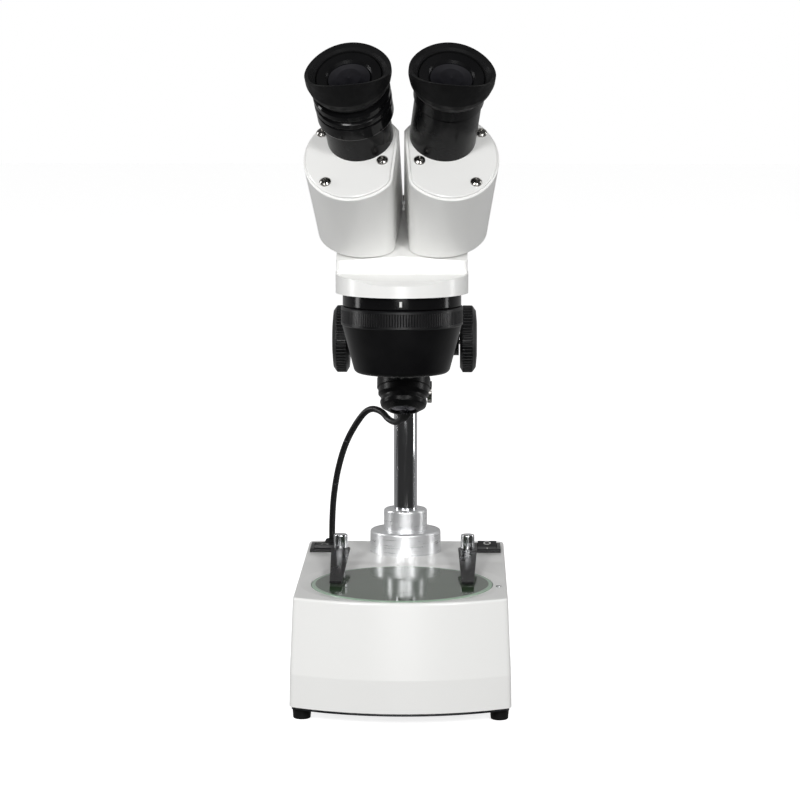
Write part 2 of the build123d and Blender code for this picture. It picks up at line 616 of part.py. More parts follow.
# ---------------------------------------------------------------- turret
def turret():
    """Objective turret: cone, knurled grip ring, and two pairs of objectives with their lenses."""
    line = upright(0, AXIS_Y)
    low = TURRET_LOW_Z
    with BuildPart() as cone:
        revolve(profile(line, [(0, low), (24.5, low), (31.0, GRIP_LOW_Z), (27.0, GRIP_LOW_Z), (21.0, low + 4),
                               (7.0, low + 4), (7.0, GRIP_TOP_Z - 2), (0, GRIP_TOP_Z - 2)],
                        [(24.5, low)], 3.0), axis=spin(line))
        with Locations((0, AXIS_Y, low + 6)):
            Cylinder(4.05, 60, align=(Align.CENTER, Align.CENTER, Align.MIN), mode=Mode.SUBTRACT)
            with PolarLocations(OBJECTIVE_PITCH_R, 4):
                Cylinder(OBJECTIVE_R, 20, mode=Mode.SUBTRACT)
    keep(cone, "turret_cone")
    with BuildPart() as grip:
        with BuildSketch(Plane.XY.offset(GRIP_LOW_Z)):
            with Locations((0, AXIS_Y)):
                Circle(31.6)
                Circle(27.0, mode=Mode.SUBTRACT)
        extrude(amount=GRIP_TOP_Z - GRIP_LOW_Z)
        chamfer(grip.edges().filter_by(GeomType.CIRCLE).group_by(SortBy.RADIUS)[-1], 0.5)
        with BuildSketch(Plane.XY.offset(GRIP_LOW_Z + 1.6)):
            with Locations((0, AXIS_Y)):
                with PolarLocations(31.7, 140):
                    Rectangle(0.62, 0.62, rotation=45)
        extrude(amount=GRIP_TOP_Z - GRIP_LOW_Z - 3.2, mode=Mode.SUBTRACT)
    keep(grip, "turret_grip_ring")
    for name, turn, reach in (("low_power_objectives", 0, 24.0), ("high_power_objectives", 90, 28.0)):
        with BuildPart() as tubes:
            with Locations((0, AXIS_Y, low - 1.2)):
                with PolarLocations(OBJECTIVE_PITCH_R, 2, start_angle=turn):
                    Cylinder(OBJECTIVE_R, reach, align=(Align.CENTER, Align.CENTER, Align.MIN))
                    Cylinder(4.2, reach, align=(Align.CENTER, Align.CENTER, Align.MIN), mode=Mode.SUBTRACT)
        keep(tubes, name)
    with BuildPart() as lenses:
        with Locations((0, AXIS_Y, low - 0.6)):
            with PolarLocations(OBJECTIVE_PITCH_R, 4):
                Cylinder(4.2, 2.4, align=(Align.CENTER, Align.CENTER, Align.MIN))
    keep(lenses, "objective_lenses")


def turret_mount():
    """Fixed ring under the head with the index mark, and the pin that the turret turns on."""
    line = upright(0, AXIS_Y)
    with BuildPart() as mount:
        revolve(profile(line, [(0, TURRET_LOW_Z + 8), (4.0, TURRET_LOW_Z + 8), (4.0, MOUNT_LOW_Z),
                               (30.75, MOUNT_LOW_Z), (30.75, MOUNT_TOP_Z), (0, MOUNT_TOP_Z)],
                        [(30.75, MOUNT_LOW_Z)], 0.6), axis=spin(line))
        with Locations((0, AXIS_Y, MOUNT_LOW_Z)):
            with Locations((-14.2, 0), (14.2, 0)):
                Cylinder(7.0, 20, mode=Mode.SUBTRACT)
        with Locations((0, AXIS_Y - 30.8, (MOUNT_LOW_Z + MOUNT_TOP_Z) / 2)):
            Box(1.4, 0.5, 3.0, mode=Mode.SUBTRACT)
    keep(mount, "turret_mount")


# ---------------------------------------------------------------- head
def roof_z(y):
    """Height of the sloping top that the prism housings stand on, at a given Y."""
    return ROOF_FRONT_Z + math.tan(math.radians(ROOF_SLOPE)) * (y - HEAD_FRONT_Y)


def view_plane(side):
    """Middle of one top plate: Z along the eyetube, Y towards its far edge, X to the right."""
    tilt = math.radians(VIEW_TILT)
    lean = math.radians(VIEW_LEAN)
    along = (side * math.sin(lean), -math.cos(lean) * math.sin(tilt), math.cos(lean) * math.cos(tilt))
    across = (math.cos(lean), side * math.sin(lean) * math.sin(tilt), -side * math.sin(lean) * math.cos(tilt))
    return Plane((side * EYE_X, EYE_Y, EYE_Z), x_dir=across, z_dir=along)


def swing_plane(side):
    """Axis that one prism housing swings about, parallel to its eyetube."""
    plate = view_plane(side)
    return Plane(plate.from_local_coords((0, -SWING_V, 0)), x_dir=plate.x_dir, z_dir=plate.z_dir)


def tube_plane(side):
    """Foot of one eyetube on its top plate."""
    plate = view_plane(side)
    return Plane(plate.from_local_coords((side * TUBE_U, TUBE_V, 0)), x_dir=plate.x_dir, z_dir=plate.z_dir)


def head_body():
    """Casting with the round flange, the block with the sloping top, and the arm back to the slide."""
    with BuildPart() as body:
        with Locations((0, AXIS_Y, MOUNT_TOP_Z)):
            Cylinder(FLANGE_R, 12, align=(Align.CENTER, Align.CENTER, Align.MIN))
        split(bisect_by=Plane((0, AXIS_Y, 228.2), z_dir=(0, -0.084, 1)), keep=Keep.BOTTOM)
        with BuildSketch(Plane.XY.offset(222)) as block:
            with Locations((0, HEAD_FRONT_Y)):
                Rectangle(2 * HEAD_HALF_X, 24.0 - HEAD_FRONT_Y, align=(Align.CENTER, Align.MIN))
            fillet(block.vertices().group_by(Axis.Y)[0], 2.0)
            fillet(block.vertices().group_by(Axis.Y)[-1], 6.0)
        extrude(amount=roof_z(15.0) - 222)
        with BuildSketch(Plane.YZ):
            with BuildLine():
                Polyline((10.0, 222), (10.0, 250.0), (HEAD_BACK_Y, 250.0), (HEAD_BACK_Y, 222), close=True)
            make_face()
        extrude(amount=20.0, both=True)
        for side in (-1, 1):
            roof = Plane((side * 8.0, HEAD_FRONT_Y, ROOF_FRONT_Z),
                         z_dir=(side * math.tan(math.radians(4.0)), -math.tan(math.radians(ROOF_SLOPE)), 1))
            split(bisect_by=roof, keep=Keep.BOTTOM)
        for side in (-1, 1):
            swing = swing_plane(side)
            extrude(disc(swing.offset(-44.0), SWING_R), amount=-18)
        for side in (-1, 1):
            swing = swing_plane(side)
            extrude(disc(swing.offset(-43.0), 6.0), amount=-22, mode=Mode.SUBTRACT)
        with Locations((0, AXIS_Y, MOUNT_TOP_Z - 1)):
            with Locations((-14.2, 0), (14.2, 0)):
                Cylinder(4.4, 30, align=(Align.CENTER, Align.CENTER, Align.MIN), mode=Mode.SUBTRACT)
        with Locations((0, HEAD_FRONT_Y, 229.4)):
            Box(90, 1.2, 0.9, mode=Mode.SUBTRACT)
    keep(body, "head_body")


def housing_outline(plane, inset, depth, inner_inset=None):
    """Ellipse with a flat inner side, on a level below the top plate; side is read from the plane."""
    side = 1 if plane.origin.X > 0 else -1
    flat = INNER_FACE_X + (inset if inner_inset is None else inner_inset) + INNER_FACE_LEAN * depth
    turn = INNER_FACE_TURN
    with BuildSketch(plane.offset(-depth)) as outline:
        Ellipse(HOUSING_A - inset, HOUSING_B - inset)
        with BuildLine():
            Polyline((side * (flat - 40 * turn), 40), (side * (flat + 40 * turn), -40), (side * 60, -40),
                     (side * 60, 40), close=True)
        make_face(mode=Mode.INTERSECT)
        front = outline.vertices().sort_by(Axis.Y)
        fillet(front[0], 10.0 - inset)
        rear = outline.vertices().sort_by(Axis.Y)
        fillet(rear[-1], 5.0 - inset)
    return outline.sketch


def plate_screw_places(side):
    """Three screws on the top plate, in its own X and Y."""
    return [(side * u, -v) for u, v in ((-14.6, 6.0), (14.2, 18.0), (16.9, -16.0))]


def prism_housing(side):
    """Cast housing that swings on the head, closed by its top plate."""
    plate = view_plane(side)
    swing = swing_plane(side)
    slope = math.tan(math.radians(ROOF_SLOPE))
    floor = Plane((0, HEAD_FRONT_Y, ROOF_FRONT_Z + 0.75), z_dir=(0, -slope, 1))
    with BuildPart() as housing:
        loft([housing_outline(plate, 0, TOP_PLATE_PROUD), housing_outline(plate, 0, HOUSING_DEPTH)], ruled=True)
        split(bisect_by=floor, keep=Keep.TOP)
        fillet(housing.faces().sort_by(spin(plate))[-1].edges(), 0.7)
        with BuildPart(mode=Mode.PRIVATE) as cavity:
            loft([housing_outline(plate, HOUSING_WALL, TOP_PLATE_PROUD - 0.5),
                  housing_outline(plate, HOUSING_WALL, HOUSING_DEPTH)], ruled=True)
            split(bisect_by=floor.offset(3.0), keep=Keep.TOP)
        add(cavity.part, mode=Mode.SUBTRACT)
        extrude(housing_outline(plate, 1.2, TOP_PLATE_THICK), amount=TOP_PLATE_THICK, mode=Mode.SUBTRACT)
        for x, y in plate_screw_places(side):
            post = Plane(plate.from_local_coords((x, y, -TOP_PLATE_THICK)), x_dir=plate.x_dir, z_dir=plate.z_dir)
            extrude(disc(post, 3.4), amount=-12)
        extrude(disc(swing.offset(-35.0), SWING_R + 0.05), amount=-40, mode=Mode.SUBTRACT)
        for x, y in plate_screw_places(side):
            post = Plane(plate.from_local_coords((x, y, -TOP_PLATE_THICK)), x_dir=plate.x_dir, z_dir=plate.z_dir)
            extrude(disc(post, 1.5), amount=-8, mode=Mode.SUBTRACT)
    keep(housing, side_name(side, "prism_housing"))


def top_plate(side):
    plate = view_plane(side)
    with BuildPart() as cover:
        extrude(housing_outline(plate, 1.2, TOP_PLATE_THICK), amount=TOP_PLATE_THICK)
        chamfer(cover.faces().sort_by(spin(plate))[-1].edges(), 0.5)
        extrude(disc(tube_plane(side), 12.0), amount=-TOP_PLATE_THICK, mode=Mode.SUBTRACT)
        for x, y in plate_screw_places(side):
            post = Plane(plate.from_local_coords((x, y, 0)), x_dir=plate.x_dir, z_dir=plate.z_dir)
            extrude(disc(post, 1.5), amount=-TOP_PLATE_THICK, mode=Mode.SUBTRACT)
    keep(cover, side_name(side, "top_plate"))
    with BuildPart() as screws:
        for x, y in plate_screw_places(side):
            seat = Plane(plate.from_local_coords((x, y, 0)), x_dir=plate.x_dir, z_dir=plate.z_dir)
            revolve(profile(seat, [(0, -9.5), (1.45, -9.5), (1.45, 0.02), (2.9, 0.02), (2.9, 0.8), (1.9, 1.6),
                                   (0, 1.8)], [(2.9, 0.8), (1.9, 1.6)], 0.4), axis=spin(seat))
            with BuildSketch(seat.offset(2.0)):
                Rectangle(3.0, 0.6)
                Rectangle(0.6, 3.0)
            extrude(amount=-1.0, mode=Mode.SUBTRACT)
    keep(screws, side_name(side, "plate_screws"))


def prisms(side):
    """Two right-angle prisms, one over the other, that turn the picture upright."""
    plate = view_plane(side)
    with BuildPart() as pair:
        for depth, turn in ((16.0, 0), (36.0, 90)):
            middle = Plane(plate.from_local_coords((0, 2, -depth)), x_dir=plate.x_dir, z_dir=plate.z_dir)
            standing = middle.rotated((90, 0, turn))
            with BuildSketch(standing):
                with BuildLine():
                    Polyline((-11, -5), (11, -5), (0, 6), close=True)
                make_face()
            extrude(amount=7, both=True)
    keep(pair, side_name(side, "prisms"))


def eyetube(side):
    """Tube on the top plate; the right one is taller because it has no dioptre ring."""
    foot = tube_plane(side)
    top = SEAT_HEIGHT[side] - 0.1 if side > 0 else 22.0
    with BuildPart() as tube:
        revolve(profile(foot, [(TUBE_BORE_R, 0.02), (TUBE_R, 0.02), (TUBE_R, top - 1.2), (TUBE_R - 0.5, top),
                               (TUBE_BORE_R, top)]), axis=spin(foot))
    keep(tube, side_name(side, "eyetube"))


def dioptre_ring():
    """Left side only: ring with two raised bands and a set screw, turning on the eyetube."""
    foot = tube_plane(-1)
    inner = TUBE_R + 0.05
    with BuildPart() as ring:
        revolve(profile(foot, [(inner, 17.8), (19.3, 17.8), (19.5, 18.4), (19.5, 24.8), (18.7, 25.2), (18.7, 26.0),
                               (19.7, 26.6), (19.7, 29.2), (18.7, 29.8), (18.7, 31.4), (19.7, 32.0),
                               (19.7, 34.8), (19.0, SEAT_HEIGHT[-1] - 0.1), (BARREL_R + 0.05, SEAT_HEIGHT[-1] - 0.1),
                               (BARREL_R + 0.05, 22.4), (inner, 22.4)],
                        [(19.7, 26.6), (19.7, 29.2), (19.7, 32.0), (19.7, 34.8)], 0.5), axis=spin(foot))
        hole = Plane(foot.from_local_coords((5.0, -18.8, 21.4)), z_dir=-foot.y_dir)
        extrude(disc(hole, 1.1), amount=3, mode=Mode.SUBTRACT)
    keep(ring, "left_dioptre_ring")


def eyepiece(side):
    """Barrel with a wider head, and its eye lens."""
    foot = tube_plane(side)
    seat = SEAT_HEIGHT[side]
    with BuildPart() as body:
        revolve(profile(foot, [(12.8, 4.0), (BARREL_R, 4.0), (BARREL_R, seat), (17.6, seat), (17.9, seat + 0.3),
                               (17.9, CUP_BOTTOM - 0.3), (17.0, CUP_BOTTOM), (17.0, EYEPIECE_TOP - 1),
                               (16.2, EYEPIECE_TOP), (12.0, EYEPIECE_TOP - 0.6), (10.6, EYEPIECE_TOP - 2.4),
                               (10.6, 39.0), (12.8, 36.0)]), axis=spin(foot))
    keep(body, side_name(side, "eyepiece"))
    with BuildPart() as lens:
        revolve(profile(foot, [(0, 39.4), (10.55, 40.2), (10.55, 42.6), (6.0, 43.5), (0, 43.9)]), axis=spin(foot))
    keep(lens, side_name(side, "eye_lens"))


def eyecup(side):
    """Rubber cup on the eyepiece's head, with a rim that rises on the user's side."""
    foot = tube_plane(side)
    side_view = Plane(foot.origin, x_dir=foot.y_dir, z_dir=foot.x_dir)
    reach = 26.0
    with BuildPart() as cup:
        revolve(profile(foot, [(17.05, CUP_BOTTOM), (18.3, CUP_BOTTOM), (20.9, CUP_BOTTOM + 4.6),
                               (CUP_R, CUP_BOTTOM + 8), (CUP_R, RIM_NEAR + 6), (20.3, RIM_NEAR + 6),
                               (19.7, EYEPIECE_TOP + 3), (17.6, EYEPIECE_TOP + 0.3), (17.05, EYEPIECE_TOP + 0.3)],
                        [(18.3, CUP_BOTTOM), (20.9, CUP_BOTTOM + 4.6), (CUP_R, CUP_BOTTOM + 8)], 1.2),
                axis=spin(foot))
        with BuildSketch(side_view):
            with BuildLine():
                ThreePointArc((-CUP_R, RIM_NEAR), (0, RIM_MIDDLE), (CUP_R, RIM_FAR))
                Polyline((CUP_R, RIM_FAR), (reach, RIM_FAR - 0.5), (reach, RIM_NEAR + 20),
                         (-reach, RIM_NEAR + 20), (-reach, RIM_NEAR + 2.5), (-CUP_R, RIM_NEAR))
            make_face()
        extrude(amount=reach, both=True, mode=Mode.SUBTRACT)
        rim = cup.faces().sort_by(spin(foot))[-1]
        fillet(rim.edges(), 0.5)
    keep(cup, side_name(side, "eyecup"))


# ---------------------------------------------------------------- lamp cable
def bend_radii(route):
    """Each bend is as large as its two runs allow."""
    radii = []
    for before, corner, after in zip(route, route[1:], route[2:]):
        run_in = Vector(*corner) - Vector(*before)
        run_out = Vector(*after) - Vector(*corner)
        half_turn = math.radians(run_in.get_angle(run_out)) / 2
        radii.append(0.45 * min(run_in.length, run_out.length) / math.tan(half_turn))
    return radii


def lamp_cable():
    """Limp two-core cable from the lamp's boot down into the base."""
    radii = bend_radii(CABLE_ROUTE)
    print("cable bend radii", [round(radius, 1) for radius in radii])
    with BuildPart() as cable:
        with BuildLine() as route:
            FilletPolyline(*CABLE_ROUTE, radius=radii)
        with BuildSketch(cable_exit()):
            Circle(CABLE_R)
        sweep()
    length = route.wires()[0].length
    print("cable length", round(length, 1), "volume ratio",
          round(cable.part.volume / (math.pi * CABLE_R ** 2 * length), 4))
    keep(cable, "lamp_cable")


base_shell()
bottom_plate()
rubber_feet()
pillar()
pillar_collar()
base_inside()
power_inlet()
switch_bodies()
cable_grommet()
stage()
arm_sleeve()
focus_block()
slide_gibs()
clamp_knob()
pinion_shaft()
rack_slide()
lamp()
turret()
turret_mount()
head_body()
dioptre_ring()
lamp_cable()
for hand in (-1, 1):
    rocker(hand)
    stage_clip(hand)
    focus_knob(hand)
    prism_housing(hand)
    top_plate(hand)
    prisms(hand)
    eyetube(hand)
    eyepiece(hand)
    eyecup(hand)

os.makedirs("parts", exist_ok=True)
for piece in pieces:
    export_step(piece, f"parts/{piece.label}.step")
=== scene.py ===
import json
import math

import bmesh
import bpy
from mathutils import Matrix, Vector


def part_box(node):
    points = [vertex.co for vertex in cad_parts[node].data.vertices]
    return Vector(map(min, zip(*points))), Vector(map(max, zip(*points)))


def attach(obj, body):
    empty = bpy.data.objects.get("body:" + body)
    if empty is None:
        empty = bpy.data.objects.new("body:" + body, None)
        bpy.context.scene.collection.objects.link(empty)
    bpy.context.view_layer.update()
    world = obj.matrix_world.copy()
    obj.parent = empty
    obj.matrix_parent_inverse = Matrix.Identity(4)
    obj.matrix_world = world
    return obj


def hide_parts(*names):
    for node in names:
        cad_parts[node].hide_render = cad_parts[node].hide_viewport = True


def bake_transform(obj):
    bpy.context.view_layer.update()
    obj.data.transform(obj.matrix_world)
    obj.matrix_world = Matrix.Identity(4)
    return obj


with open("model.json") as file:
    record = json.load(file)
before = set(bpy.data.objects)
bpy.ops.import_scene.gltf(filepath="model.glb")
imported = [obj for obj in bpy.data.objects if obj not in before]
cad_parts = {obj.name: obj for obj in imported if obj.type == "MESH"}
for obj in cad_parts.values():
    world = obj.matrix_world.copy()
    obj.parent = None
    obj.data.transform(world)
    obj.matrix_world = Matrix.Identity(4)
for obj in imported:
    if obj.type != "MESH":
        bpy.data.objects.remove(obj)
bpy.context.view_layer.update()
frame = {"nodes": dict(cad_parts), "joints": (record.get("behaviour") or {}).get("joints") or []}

MM = 0.001


# ---------------------------------------------------------------- camera
CAMERA_PLACE = (0.0310, -1.4708, 0.3522)
CAMERA_PITCH = 7.52                  # degrees below level
CAMERA_TURN = 1.27                   # degrees towards the left
CAMERA_LENS = 126.0                  # mm on a 36 mm sensor


def add_camera():
    """Long lens, a little above the stage and to the right of the middle."""
    data = bpy.data.cameras.new("camera")
    data.lens = CAMERA_LENS
    data.sensor_width = 36.0
    data.clip_end = 20.0
    camera = bpy.data.objects.new("camera", data)
    camera.location = CAMERA_PLACE
    camera.rotation_euler = (math.radians(90.0 - CAMERA_PITCH), 0.0, math.radians(CAMERA_TURN))
    bpy.context.scene.collection.objects.link(camera)
    bpy.context.scene.camera = camera


# ---------------------------------------------------------------- mesh helpers
def new_object(name, mesh, material, body):
    """Links a finished mesh, gives it its material and slot, and rides it on a body if one is named."""
    piece = bpy.data.objects.new(name, mesh)
    bpy.context.scene.collection.objects.link(piece)
    piece.data.materials.append(material)
    if body:
        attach(piece, body)
    return piece


def smooth(mesh):
    """Rounded shading on every face."""
    mesh.polygons.foreach_set("use_smooth", [True] * len(mesh.polygons))


def swept_tube(name, points, radius, sides=20):
    """Round tube along a smooth line, its rings square to the line and free of twist."""
    form = bmesh.new()
    across = (points[1] - points[0]).orthogonal().normalized()
    rings = []
    for index, point in enumerate(points):
        ahead = points[min(index + 1, len(points) - 1)]
        behind = points[max(index - 1, 0)]
        along = (ahead - behind).normalized()
        across = (across - along * across.dot(along)).normalized()
        beside = along.cross(across)
        turns = [2 * math.pi * side / sides for side in range(sides)]
        rings.append([form.verts.new(point + radius * (math.cos(t) * across + math.sin(t) * beside))
                      for t in turns])
    for near, far in zip(rings, rings[1:]):
        for side in range(sides):
            after = (side + 1) % sides
            form.faces.new((near[side], near[after], far[after], far[side]))
    form.faces.new(list(reversed(rings[0])))
    form.faces.new(rings[-1])
    mesh = bpy.data.meshes.new(name)
    form.to_mesh(mesh)
    form.free()
    smooth(mesh)
    return mesh


def bevelled_bar(name, size, place, edge, segments=2):
    """Box with rounded edges; place is a 4x4 that puts it in the frame."""
    form = bmesh.new()
    bmesh.ops.create_cube(form, size=1.0, matrix=Matrix.Diagonal((*size, 1.0)))
    bmesh.ops.bevel(form, geom=form.edges[:], offset=edge, segments=segments, affect="EDGES", profile=0.5)
    bmesh.ops.transform(form, matrix=place, verts=form.verts)
    mesh = bpy.data.meshes.new(name)
    form.to_mesh(mesh)
    form.free()
    return mesh


# ---------------------------------------------------------------- materials
class Surface:
    """Principled material whose colour, roughness and bump come from a few node layers."""

    def __init__(self, name, colour, roughness, metallic=0.0):
        self.material = bpy.data.materials.new(name)
        self.material.use_nodes = True
        self.nodes = self.material.node_tree.nodes
        self.links = self.material.node_tree.links
        self.shader = self.nodes["Principled BSDF"]
        self.shader.inputs["Metallic"].default_value = metallic
        self.shader.inputs["Roughness"].default_value = roughness
        self.shader.inputs["Base Color"].default_value = (*colour, 1.0)
        self.colour = colour
        self.coords = self.nodes.new("ShaderNodeTexCoord")
        self.normal = None

    def noise(self, scale, detail=4.0, stretch=(1.0, 1.0, 1.0), distortion=0.0):
        """Noise in the part's own place, finer along the axes with a larger stretch."""
        mapping = self.nodes.new("ShaderNodeMapping")
        mapping.inputs["Scale"].default_value = stretch
        self.links.new(self.coords.outputs["Object"], mapping.inputs["Vector"])
        noise = self.nodes.new("ShaderNodeTexNoise")
        noise.inputs["Scale"].default_value = scale
        noise.inputs["Detail"].default_value = detail
        noise.inputs["Distortion"].default_value = distortion
        self.links.new(mapping.outputs["Vector"], noise.inputs["Vector"])
        return noise.outputs["Fac"]

    def spread(self, value, low, high, start=0.35, end=0.65):
        """Maps a layer's values onto low to high."""
        ramp = self.nodes.new("ShaderNodeMapRange")
        ramp.inputs["From Min"].default_value = start
        ramp.inputs["From Max"].default_value = end
        ramp.inputs["To Min"].default_value = low
        ramp.inputs["To Max"].default_value = high
        self.links.new(value, ramp.inputs["Value"])
        return ramp.outputs["Result"]

    def tint(self, layer, other, amount):
        """Mixes the colour so far towards another one where the layer is high."""
        mix = self.nodes.new("ShaderNodeMix")
        mix.data_type = "RGBA"
        source = self.shader.inputs["Base Color"]
        if source.is_linked:
            self.links.new(source.links[0].from_socket, mix.inputs["A"])
        else:
            mix.inputs["A"].default_value = (*self.colour, 1.0)
        mix.inputs["B"].default_value = (*other, 1.0)
        self.links.new(self.spread(layer, 0.0, amount), mix.inputs["Factor"])
        self.links.new(mix.outputs["Result"], source)
        return self

    def vary_roughness(self, layer, low, high):
        """Roughness runs from low to high with the layer."""
        self.links.new(self.spread(layer, low, high), self.shader.inputs["Roughness"])
        return self

    def bump(self, layer, depth, strength=1.0):
        """Raises the surface with the layer, by depth in metres."""
        bump = self.nodes.new("ShaderNodeBump")
        bump.inputs["Strength"].default_value = strength
        bump.inputs["Distance"].default_value = depth
        self.links.new(layer, bump.inputs["Height"])
        if self.normal:
            self.links.new(self.normal, bump.inputs["Normal"])
        self.normal = bump.outputs["Normal"]
        self.links.new(self.normal, self.shader.inputs["Normal"])
        return self

    def axis_distance(self, centre):
        """Distance of a point from an upright line through centre."""
        offset = self.nodes.new("ShaderNodeVectorMath")
        offset.operation = "SUBTRACT"
        offset.inputs[1].default_value = centre
        self.links.new(self.coords.outputs["Object"], offset.inputs[0])
        flat = self.nodes.new("ShaderNodeVectorMath")
        flat.operation = "MULTIPLY"
        flat.inputs[1].default_value = (1.0, 1.0, 0.0)
        self.links.new(offset.outputs["Vector"], flat.inputs[0])
        length = self.nodes.new("ShaderNodeVectorMath")
        length.operation = "LENGTH"
        self.links.new(flat.outputs["Vector"], length.inputs[0])
        return length.outputs["Value"]

    def put(self, **sockets):
        """Sets plain shader values, with underscores for the spaces in their names."""
        for name, value in sockets.items():
            self.shader.inputs[name.replace("_", " ")].default_value = value
        return self


def enamel(name, colour, stain, gloss, peel=0.00003):
    """Baked enamel: faint orange peel, cloudy handling marks and a thin clear top layer."""
    paint = Surface(name, colour, gloss)
    paint.tint(paint.noise(9.0, 1.0), stain, 0.04)
    paint.tint(paint.noise(220.0, 5.0), stain, 0.1)
    paint.vary_roughness(paint.noise(40.0, 2.0), gloss - 0.02, gloss + 0.03)
    paint.bump(paint.noise(700.0, 2.0), peel, 0.35)
    paint.put(Coat_Weight=0.25, Coat_Roughness=0.18)
    return paint.material


def black_casting(name, gloss, grain):
    """Black paint over a cast or turned body, with a fine grain and rubbed patches."""
    paint = Surface(name, (0.0035, 0.0035, 0.0038), gloss)
    paint.tint(paint.noise(30.0, 4.0), (0.008, 0.008, 0.0085), 0.6)
    paint.vary_roughness(paint.noise(60.0, 4.0), gloss - 0.04, gloss + 0.08)
    paint.bump(paint.noise(1400.0, 3.0), grain, 0.5)
    paint.put(Specular_IOR_Level=0.16)
    return paint.material


def moulded_plastic(name, colour, gloss):
    """Fine spark-eroded grain, a little greyer where it is handled."""
    plastic = Surface(name, colour, gloss)
    plastic.tint(plastic.noise(50.0, 3.0), tuple(c * 2.2 + 0.001 for c in colour), 0.5)
    plastic.vary_roughness(plastic.noise(90.0, 5.0), gloss - 0.05, gloss + 0.08)
    plastic.bump(plastic.noise(2600.0, 2.0), 0.00003, 0.5)
    plastic.put(Specular_IOR_Level=0.25)
    return plastic.material


def soft_rubber(name, colour):
    """Matt rubber with pores and a grey bloom."""
    rubber = Surface(name, colour, 0.55)
    rubber.tint(rubber.noise(60.0, 6.0), (0.011, 0.011, 0.0115), 0.45)
    rubber.vary_roughness(rubber.noise(220.0, 4.0), 0.45, 0.68)
    rubber.bump(rubber.noise(1800.0, 3.0), 0.00005, 0.5)
    rubber.put(Specular_IOR_Level=0.12, Sheen_Weight=0.01, Sheen_Roughness=0.4)
    return rubber.material


def polished_chrome(name):
    """Plated steel: hairline scratches along the rod and a few dull clouds."""
    plate = Surface(name, (0.66, 0.665, 0.68), 0.06, 1.0)
    plate.tint(plate.noise(25.0, 3.0), (0.5, 0.5, 0.52), 0.3)
    plate.vary_roughness(plate.noise(90.0, 4.0, (6.0, 6.0, 0.6)), 0.04, 0.13)
    plate.bump(plate.noise(500.0, 4.0, (8.0, 8.0, 0.4)), 0.00001, 0.25)
    return plate.material


def turned_aluminium(name):
    """Satin anodised, with tool marks that run round each step."""
    metal = Surface(name, (0.72, 0.725, 0.735), 0.36, 0.75)
    metal.tint(metal.noise(18.0, 3.0), (0.6, 0.605, 0.61), 0.5)
    metal.vary_roughness(metal.noise(300.0, 3.0, (0.2, 0.2, 6.0)), 0.27, 0.42)
    metal.bump(metal.noise(700.0, 2.0, (0.05, 0.05, 6.0)), 0.00002, 0.4)
    return metal.material


def milled_steel(name, colour=(0.5, 0.5, 0.51), roughness=0.26):
    """Bare steel with short brushed lines and oily patches."""
    metal = Surface(name, colour, roughness, 1.0)
    metal.tint(metal.noise(45.0, 4.0), tuple(c * 0.7 for c in colour), 0.5)
    metal.vary_roughness(metal.noise(400.0, 3.0, (1.0, 8.0, 0.6)), roughness - 0.08, roughness + 0.12)
    metal.bump(metal.noise(900.0, 3.0, (1.0, 6.0, 0.4)), 0.00001, 0.4)
    return metal.material


def turned_brass(name):
    """Brass bush, dulled by handling."""
    metal = Surface(name, (0.62, 0.45, 0.2), 0.3, 1.0)
    metal.tint(metal.noise(60.0, 4.0), (0.36, 0.25, 0.11), 0.6)
    metal.vary_roughness(metal.noise(300.0, 3.0, (0.2, 0.2, 5.0)), 0.22, 0.42)
    metal.bump(metal.noise(800.0, 2.0, (0.05, 0.05, 6.0)), 0.00001, 0.4)
    return metal.material


def stage_glass(name):
    """Thick grey-green plate glass with a paler rim: partly its ground edge's own tone, partly a painted
    highlight of light caught in the edge.
    """
    low, high = [Vector(corner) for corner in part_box("stage_plate")]
    middle = (low + high) / 2
    rim = (high.x - low.x) / 2
    glass = Surface(name, (0.036, 0.066, 0.034), 0.07)
    glass.tint(glass.noise(30.0, 3.0), (0.06, 0.082, 0.055), 0.6)
    ring = glass.axis_distance(middle)
    # painted highlight, with the ground edge's own paler tone: the outer ring of the plate is mixed towards
    # pale green
    edge = glass.spread(ring, 0.0, 1.0, rim - 0.0034, rim - 0.0008)
    glass.tint(edge, (0.30, 0.42, 0.32), 1.0)
    glass.vary_roughness(glass.noise(80.0, 5.0), 0.04, 0.12)
    glass.bump(glass.noise(60.0, 2.0), 0.00001, 0.1)
    glass.put(Specular_IOR_Level=0.5)
    return glass.material


def lens_glass(name, colour, dust):
    """Coated lens: dark and glossy, with a little dust."""
    glass = Surface(name, colour, 0.03)
    glass.tint(glass.noise(300.0, 5.0), dust, 0.12)
    glass.vary_roughness(glass.noise(150.0, 4.0), 0.01, 0.06)
    glass.put(Specular_IOR_Level=0.35, Coat_Weight=0.3, Coat_Roughness=0.02, Coat_Tint=(0.8, 0.75, 1.0, 1.0))
    return glass.material


def clear_glass(name):
    """Bulb and prism glass, hardly tinted, with faint seeds."""
    glass = Surface(name, (0.9, 0.95, 0.95), 0.03)
    glass.tint(glass.noise(200.0, 4.0), (0.75, 0.82, 0.82), 0.4)
    glass.vary_roughness(glass.noise(120.0, 3.0), 0.02, 0.1)
    glass.put(Transmission_Weight=0.85, IOR=1.5)
    return glass.material


def laminated_iron(name):
    """Varnished transformer laminations, stacked along Y."""
    iron = Surface(name, (0.16, 0.09, 0.05), 0.45)
    iron.tint(iron.noise(20.0, 3.0), (0.08, 0.05, 0.03), 0.6)
    iron.vary_roughness(iron.noise(80.0, 4.0), 0.35, 0.6)
    iron.bump(iron.noise(500.0, 2.0, (0.1, 6.0, 0.1)), 0.00008, 0.6)
    return iron.material


def print_white(name):
    """Stamped white marks, slightly worn."""
    ink = Surface(name, (0.8, 0.8, 0.78), 0.5)
    ink.tint(ink.noise(900.0, 4.0), (0.4, 0.4, 0.4), 0.5)
    ink.bump(ink.noise(2000.0, 2.0), 0.00001, 0.3)
    return ink.material


